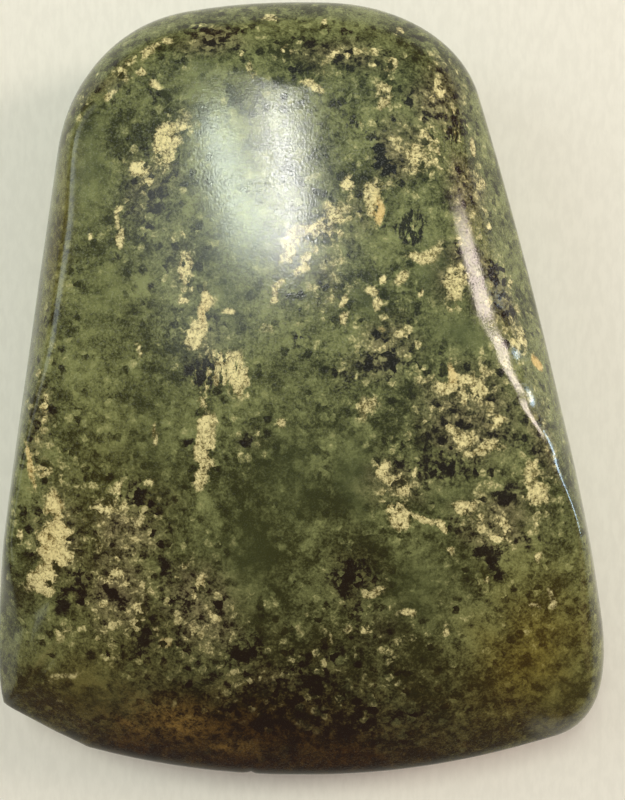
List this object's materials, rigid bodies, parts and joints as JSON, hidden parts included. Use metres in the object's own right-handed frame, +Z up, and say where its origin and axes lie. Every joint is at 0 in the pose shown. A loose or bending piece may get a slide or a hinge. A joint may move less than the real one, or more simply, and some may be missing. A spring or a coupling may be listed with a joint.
{
  "type": "polished jade axe head",
  "caption": "Polished jade axe head, lying flat: domed faces, bevelled sides, wide curved cutting edge and rounded butt, with no hole and no haft.",
  "frame": {"origin": "on the table, under the middle of the head's outline box, as it lies on its back", "axes": "+Z up, +Y towards the butt, -Y towards the cutting edge, +X to the right seen from above"},
  "size_m": [0.0864, 0.11, 0.026],
  "materials": {
    "jade": "polished mottled green jade with cream and black speckle"
  },
  "bodies": {
    "root": {"axe_head": "jade"}
  },
  "joints": []
}
